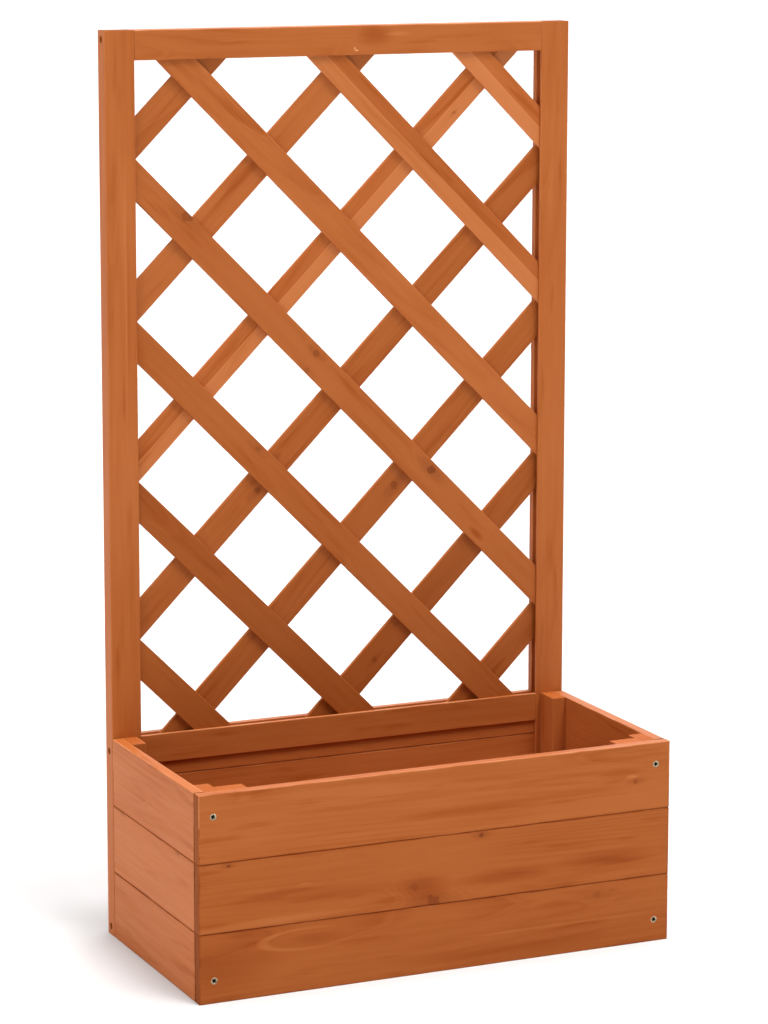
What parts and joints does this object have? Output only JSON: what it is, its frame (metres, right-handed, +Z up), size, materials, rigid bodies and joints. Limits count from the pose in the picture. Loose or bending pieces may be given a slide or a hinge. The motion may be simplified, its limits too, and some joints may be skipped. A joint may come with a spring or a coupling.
{
  "type": "planter with trellis",
  "caption": "Rectangular boarded wooden planter trough with a tall framed diagonal lattice trellis standing at its back.",
  "frame": {"origin": "on the floor, under the middle of the planter's outline", "axes": "+X to the right along the trough, +Y from the front boards to the trellis at the back, +Z up"},
  "size_m": [0.6, 0.3, 1.08],
  "materials": {
    "back_board_1": "planed softwood, brown-orange stain, matt",
    "back_board_2": "planed softwood, brown-orange stain, matt",
    "back_board_3": "planed softwood, brown-orange stain, matt",
    "back_lath_1": "planed softwood, brown-orange stain, matt",
    "back_lath_2": "planed softwood, brown-orange stain, matt",
    "back_lath_3": "planed softwood, brown-orange stain, matt",
    "back_lath_4": "planed softwood, brown-orange stain, matt",
    "back_lath_5": "planed softwood, brown-orange stain, matt",
    "back_lath_6": "planed softwood, brown-orange stain, matt",
    "back_lath_7": "planed softwood, brown-orange stain, matt",
    "batten_screws": "zinc plated",
    "bottom_rail": "planed softwood, brown-orange stain, matt",
    "floor_batten_back": "planed softwood, brown-orange stain, matt",
    "floor_batten_front": "planed softwood, brown-orange stain, matt",
    "floor_slat_1": "planed softwood, brown-orange stain, matt",
    "floor_slat_2": "planed softwood, brown-orange stain, matt",
    "floor_slat_3": "planed softwood, brown-orange stain, matt",
    "floor_slat_4": "planed softwood, brown-orange stain, matt",
    "floor_slat_5": "planed softwood, brown-orange stain, matt",
    "floor_slat_6": "planed softwood, brown-orange stain, matt",
    "frame_screws": "zinc plated",
    "front_board_1": "planed softwood, brown-orange stain, matt",
    "front_board_2": "planed softwood, brown-orange stain, matt",
    "front_board_3": "planed softwood, brown-orange stain, matt",
    "front_lath_1": "planed softwood, brown-orange stain, matt",
    "front_lath_2": "planed softwood, brown-orange stain, matt",
    "front_lath_3": "planed softwood, brown-orange stain, matt",
    "front_lath_4": "planed softwood, brown-orange stain, matt",
    "front_lath_5": "planed softwood, brown-orange stain, matt",
    "front_lath_6": "planed softwood, brown-orange stain, matt",
    "front_lath_7": "planed softwood, brown-orange stain, matt",
    "front_panel_screws": "zinc plated",
    "left_board_1": "planed softwood, brown-orange stain, matt",
    "left_board_2": "planed softwood, brown-orange stain, matt",
    "left_board_3": "planed softwood, brown-orange stain, matt",
    "left_front_cleat": "planed softwood, brown-orange stain, matt",
    "left_panel_cleat": "planed softwood, brown-orange stain, matt",
    "left_post": "planed softwood, brown-orange stain, matt",
    "left_rear_cleat": "planed softwood, brown-orange stain, matt",
    "middle_rail": "planed softwood, brown-orange stain, matt",
    "right_board_1": "planed softwood, brown-orange stain, matt",
    "right_board_2": "planed softwood, brown-orange stain, matt",
    "right_board_3": "planed softwood, brown-orange stain, matt",
    "right_front_cleat": "planed softwood, brown-orange stain, matt",
    "right_panel_cleat": "planed softwood, brown-orange stain, matt",
    "right_post": "planed softwood, brown-orange stain, matt",
    "right_rear_cleat": "planed softwood, brown-orange stain, matt",
    "side_panel_screws": "zinc plated",
    "top_rail": "planed softwood, brown-orange stain, matt"
  },
  "bodies": {
    "root": {"back_board_1": "back_board_1", "back_board_2": "back_board_2", "back_board_3": "back_board_3", "back_lath_1": "back_lath_1", "back_lath_2": "back_lath_2", "back_lath_3": "back_lath_3", "back_lath_4": "back_lath_4", "back_lath_5": "back_lath_5", "back_lath_6": "back_lath_6", "back_lath_7": "back_lath_7", "batten_screws": "batten_screws", "bottom_rail": "bottom_rail", "floor_batten_back": "floor_batten_back", "floor_batten_front": "floor_batten_front", "floor_slat_1": "floor_slat_1", "floor_slat_2": "floor_slat_2", "floor_slat_3": "floor_slat_3", "floor_slat_4": "floor_slat_4", "floor_slat_5": "floor_slat_5", "floor_slat_6": "floor_slat_6", "frame_screws": "frame_screws", "front_board_1": "front_board_1", "front_board_2": "front_board_2", "front_board_3": "front_board_3", "front_lath_1": "front_lath_1", "front_lath_2": "front_lath_2", "front_lath_3": "front_lath_3", "front_lath_4": "front_lath_4", "front_lath_5": "front_lath_5", "front_lath_6": "front_lath_6", "front_lath_7": "front_lath_7", "front_panel_screws": "front_panel_screws", "left_board_1": "left_board_1", "left_board_2": "left_board_2", "left_board_3": "left_board_3", "left_front_cleat": "left_front_cleat", "left_panel_cleat": "left_panel_cleat", "left_post": "left_post", "left_rear_cleat": "left_rear_cleat", "middle_rail": "middle_rail", "right_board_1": "right_board_1", "right_board_2": "right_board_2", "right_board_3": "right_board_3", "right_front_cleat": "right_front_cleat", "right_panel_cleat": "right_panel_cleat", "right_post": "right_post", "right_rear_cleat": "right_rear_cleat", "side_panel_screws": "side_panel_screws", "top_rail": "top_rail"}
  },
  "joints": []
}
